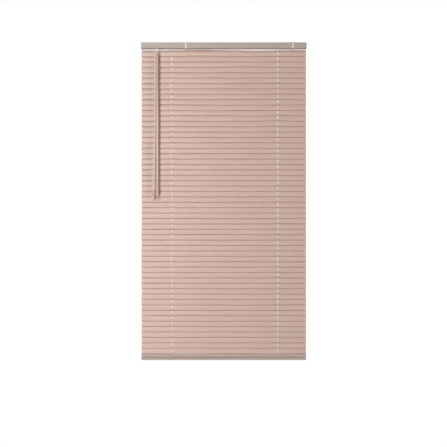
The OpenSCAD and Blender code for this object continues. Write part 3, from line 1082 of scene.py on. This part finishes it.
def hex_bar(name, radius, middle, length, along):
    """A hexagonal bar, its radius given to its corners."""
    return bar(name, radius, middle, length, along, 6)


def make_drum(side, x):
    """A ladder drum: hubs, flanges and a barrel with two string grooves."""
    outline = [(0, -11), (HUB_R - 0.4, -11), (HUB_R, -10.6), (HUB_R, -8.1), (FLANGE_R - 0.3, -8.1),
               (FLANGE_R, -7.8), (FLANGE_R, -7.2), (FLANGE_R - 0.3, -6.9), (DRUM_R, -6.7),
               (DRUM_R, -1.2), (DRUM_R - 0.7, -0.7), (DRUM_R - 0.7, 0.7), (DRUM_R, 1.2),
               (DRUM_R, 6.7), (FLANGE_R - 0.3, 6.9), (FLANGE_R, 7.2), (FLANGE_R, 7.8),
               (FLANGE_R - 0.3, 8.1), (HUB_R, 8.1), (HUB_R, 10.6), (HUB_R - 0.4, 11), (0, 11)]
    drum = turned(f"ladder_drum_{side}", outline, (x, SHAFT.y, SHAFT.z), "X", 48)
    carve(drum, hex_bar("bore", HEX_R + FIT, (x, SHAFT.y, SHAFT.z), 30, "X"))
    return smooth(drum, 30)


def settle_about_x(piece, middle, angle):
    """Turns a piece about the X line through middle and leaves that in its mesh."""
    piece.rotation_euler = (angle, 0, 0)
    turned_middle = piece.rotation_euler.to_matrix() @ (Vector((0, middle.y, middle.z)) * MM)
    piece.location = Vector((0, middle.y, middle.z)) * MM - turned_middle
    settle(piece)


def make_wheel():
    """The worm wheel: every other face of a rim drawn out into a tapered tooth."""
    middle = Vector((WAND.x, SHAFT.y, SHAFT.z))
    wheel = bar("worm_wheel", WHEEL_ROOT_R, middle, WHEEL_W, "X", 2 * WHEEL_TEETH)
    step = math.pi / WHEEL_TEETH
    settle_about_x(wheel, middle, step / 2)

    def is_tooth(centre, normal):
        angle = math.atan2(centre.z - middle.z, centre.y - middle.y)
        return abs(normal.x) < 0.1 and round(angle / step) % 2 == 0

    pick_faces(wheel, is_tooth)
    bpy.ops.mesh.extrude_faces_move(TRANSFORM_OT_shrink_fatten={"value": TOOTH_H * MM})
    leave(wheel)
    hub = turned("hub", [(0, -5.1), (4.3, -5.1), (4.6, -4.8), (4.6, 4.8), (4.3, 5.1), (0, 5.1)],
                 middle, "X", 40)
    carve(wheel, hub, how="UNION")
    carve(wheel, hex_bar("bore", HEX_R + FIT, middle, 20, "X"))
    return smooth(wheel, 25)


def make_rod():
    """The hexagonal tilt rod, its ends lightly chamfered."""
    middle = ((shaft_low.x + shaft_high.x) / 2, SHAFT.y, SHAFT.z)
    rod = hex_bar("tilt_rod", HEX_R, middle, shaft_high.x - shaft_low.x, "X")
    return soften(rod, 0.3, 2)


give(make_rod(), "tilt_shaft", steel, "steel", "tilt_shaft")
for side, x in LADDERS.items():
    give(make_drum(side, x), "tilt_shaft", white_plastic, "mechanism", "tilt_shaft")
give(make_wheel(), "tilt_shaft", white_plastic, "mechanism", "tilt_shaft")

# ---- Tilt wand ----


def make_worm():
    """The worm: one pitch of its outline screwed up the stem and trimmed to four turns."""
    root, crest = 2.75, 4.2
    half, end = WORM_PITCH / 2, 2 * WORM_PITCH
    start = -2.75 * WORM_PITCH      # a groove faces the wheel's middle
    outline = [(root, -half), (root, -0.75), (crest, -0.35), (crest, 0.35), (root, 0.75), (root, half)]
    worm = drawn("worm", [(radius, 0, start + height) for radius, height in outline])
    modify(worm, "SCREW", axis="Z", angle=2 * math.pi, steps=28, render_steps=28, iterations=6,
           screw_offset=WORM_PITCH * MM, use_merge_vertices=True, merge_threshold=0.01 * MM)
    edit(worm)
    for height, way in ((-end, -1), (end, 1)):
        bpy.ops.mesh.select_all(action="SELECT")
        bpy.ops.mesh.bisect(plane_co=(0, 0, height * MM), plane_no=(0, 0, way), clear_outer=True,
                            use_fill=True)
    leave(worm)
    weld(worm)
    worm.location = Vector((WAND.x, WAND.y, SHAFT.z)) * MM
    return smooth(settle(worm), 30)


def make_stem():
    """The worm's stem: a collar under the headrail, then a flat eye."""
    outline = [(0, -4.5), (1.5, -4.5), (STEM_R, -4.8), (STEM_R, -26), (2.9, -26.2), (3.1, -26.6),
               (3.1, -28.2), (2.8, -28.6), (2.2, -29), (2.0, -30), (0, -30)]
    stem = turned("wand_stem", outline, (WAND.x, WAND.y, 0), steps=32)
    eye = block("eye", (WAND.x - 1.1, WAND.y - 2.5, EYE_Z - 2.2), (WAND.x + 1.1, WAND.y + 2.5, -28.4))
    round_edges(eye, runs_along_x, 1.6, 5)
    carve(stem, eye, how="UNION")
    carve(stem, bar("hole", 1.3, (WAND.x, WAND.y, EYE_Z), 8, "X", 24))
    return smooth(stem, 30)


def make_hook():
    """The wire hook: a ring through the eye, with a shank down into the ferrule."""
    centre = Vector((WAND.x, WAND.y, EYE_Z - HOOK_R))
    only()
    bpy.ops.mesh.primitive_torus_add(location=centre * MM, rotation=(math.pi / 2, 0, 0),
                                     major_radius=HOOK_R * MM, minor_radius=WIRE_R * MM,
                                     major_segments=36, minor_segments=14)
    ring = named("wand_hook")
    shank = bar("shank", WIRE_R * 0.98, centre - Vector((0, 0, HOOK_R + 3.4)), 7, "Z", 14)
    carve(ring, shank, how="UNION")
    return smooth(ring, 40)


def make_ferrule():
    """The cap that grips the wand's top, tapering up to the hook."""
    top, bottom = FERRULE_TOP, FERRULE_TOP - FERRULE_LEN
    outline = [(1, top), (2.6, top), (3.2, top - 0.5), (3.6, top - 1.6), (4.6, top - 4.4),
               (5.1, top - 6), (5.2, top - 7), (5.2, bottom + 0.4), (4.9, bottom), (0, bottom),
               (0, top - 6), (1, top - 6), (1, top)]
    ferrule = turned("wand_ferrule", outline, (WAND.x, WAND.y, 0), steps=40)
    carve(ferrule, bar("socket", WAND_R + FIT, (WAND.x, WAND.y, bottom), 12, "Z", 6))
    return smooth(ferrule, 35)


def make_wand():
    """The hexagonal wand, its long edges rounded."""
    top, bottom = FERRULE_TOP - FERRULE_LEN + 5.8, wand_low.z + 8
    wand = bar("wand_rod", WAND_R, (WAND.x, WAND.y, (top + bottom) / 2), top - bottom, "Z", 6)
    return soften(wand, 0.5, 3)


def make_wand_end():
    """The moulded cap at the wand's lower end."""
    bottom = wand_low.z
    top = bottom + WAND_END_LEN
    outline = [(0, bottom), (3.6, bottom), (4.6, bottom + 0.4), (5.1, bottom + 1.3),
               (5.2, bottom + 2.4), (5.2, top - 1.4), (4.95, top - 0.3), (4.7, top), (0, top)]
    end = turned("wand_end", outline, (WAND.x, WAND.y, 0), steps=40)
    carve(end, bar("socket", WAND_R + FIT / 2, (WAND.x, WAND.y, top), 12.4, "Z", 6))
    return smooth(end, 35)


give(make_worm(), "tilt_wand", white_plastic, "mechanism", "tilt_wand")
give(make_stem(), "tilt_wand", white_plastic, "mechanism", "tilt_wand")
give(make_hook(), "tilt_wand", clip_enamel, "clip_enamel", "tilt_wand")
give(make_ferrule(), "tilt_wand", wand_plastic, "wand_plastic", "tilt_wand")
give(make_wand(), "tilt_wand", wand_plastic, "wand_plastic", "tilt_wand")
give(make_wand_end(), "tilt_wand", wand_plastic, "wand_plastic", "tilt_wand")

# ---- Bottom rail ----


def make_rail_cap():
    """The right cap of the bottom rail."""
    inner = RAIL_HALF - CAP_T
    cap = block("rail_cap_right", (inner, -RAIL_D / 2, -RAIL_H / 2), (RAIL_HALF, RAIL_D / 2, RAIL_H / 2))
    round_edges(cap, runs_along_x, RAIL_BEND, 6)
    gap = RAIL_T + FIT
    plug = block("plug", (inner - PLUG, -RAIL_D / 2 + gap, -RAIL_H / 2 + gap),
                 (inner + 0.5, RAIL_D / 2 - gap, RAIL_H / 2 - gap))
    round_edges(plug, runs_along_x, 2, 4)
    carve(cap, plug, how="UNION")
    return soften(cap, 0.3)


def make_button(side, x):
    """The button under the rail that holds a lift cord's knot."""
    top = -RAIL_H / 2 - FIT
    outline = [(1, top + 6), (3.2, top + 6), (3.2, top), (5.3, top), (5.5, top - 0.3), (5.5, top - 0.9),
               (5.2, top - 1.4), (4.6, top - 1.6), (2.2, top - 1.6), (1.6, top - 1.2), (1, top - 1.2),
               (1, top + 6)]
    return smooth(turned(f"cord_button_{side}", outline, (x, 0, 0), steps=32), 35)


def make_rail():
    """The rolled rail: a hollow box section with an open seam along its top front edge."""
    half = RAIL_HALF - CAP_T - FIT
    rail = block("bottom_rail_tube", (-half, -RAIL_D / 2, -RAIL_H / 2), (half, RAIL_D / 2, RAIL_H / 2))
    round_edges(rail, runs_along_x, RAIL_BEND, 6)
    half += 5                      # the cutters run past both ends
    bore = block("bore", (-half, -RAIL_D / 2 + RAIL_T, -RAIL_H / 2 + RAIL_T),
                 (half, RAIL_D / 2 - RAIL_T, RAIL_H / 2 - RAIL_T))
    round_edges(bore, runs_along_x, RAIL_BEND - RAIL_T, 5)
    carve(rail, bore)
    edge = RAIL_D / 2 - RAIL_BEND
    carve(rail, block("seam", (-half, -edge - SEAM_W, 6), (half, -edge, 12)))
    for x in LADDERS.values():
        slot = rounded_cutter("slot", (x - 1.2, -8, 4), (x + 1.2, 8, 12), 1.1)
        notch = block("notch", (x - NOTCH_W / 2, -RAIL_D, -5), (x + NOTCH_W / 2, -edge, 12))
        hole = bar("hole", 3.4, (x, 0, -8), 8, "Z", 32)
        carve(rail, slot, notch, hole)
    return smooth(rail, 30)


# The rail wears the lighter copy of the rail enamel, which is painted light.
give(lay_rail(make_rail()), "bottom_rail", rail_enamel_painted_lighter, "rail_enamel", "bottom_rail")
right_rail_cap = make_rail_cap()
left_rail_cap = smooth(mirrored(right_rail_cap, "rail_cap_left"))
for cap in (right_rail_cap, left_rail_cap):
    give(lay_rail(cap), "bottom_rail", cap_plastic, "rail_enamel", "bottom_rail")
for side, x in LADDERS.items():
    give(lay_rail(make_button(side, x)), "bottom_rail", white_plastic, "mechanism", "bottom_rail")
